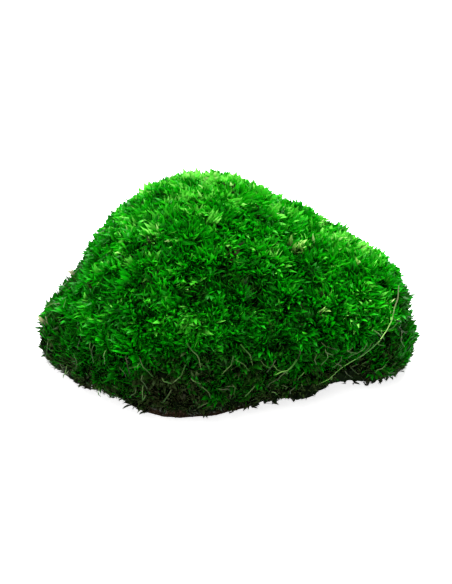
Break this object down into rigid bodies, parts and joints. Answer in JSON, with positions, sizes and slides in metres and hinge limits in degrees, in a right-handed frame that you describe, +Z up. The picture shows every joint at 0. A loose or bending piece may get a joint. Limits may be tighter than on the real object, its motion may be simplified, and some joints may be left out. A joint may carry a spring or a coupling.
{
  "type": "moss cushion",
  "caption": "Picked cushion of green moss: a dome of dense short shoots with a lower fold at one end, on a flat mat of soil and dead stems that it rests on.",
  "frame": {"origin": "middle of the footprint, on the surface that the cushion stands on", "axes": "+X along the cushion's length, with its lower side fold at the +X end, -Y its front, +Z up"},
  "size_m": [0.119, 0.096, 0.055],
  "materials": {
    "moss": "matt living moss, bright at the tips and dark between the tufts",
    "soil": "matt crumbly soil bound by dead brown stems"
  },
  "bodies": {
    "root": {"moss_cushion": "moss", "soil_mat": "soil"}
  },
  "joints": []
}
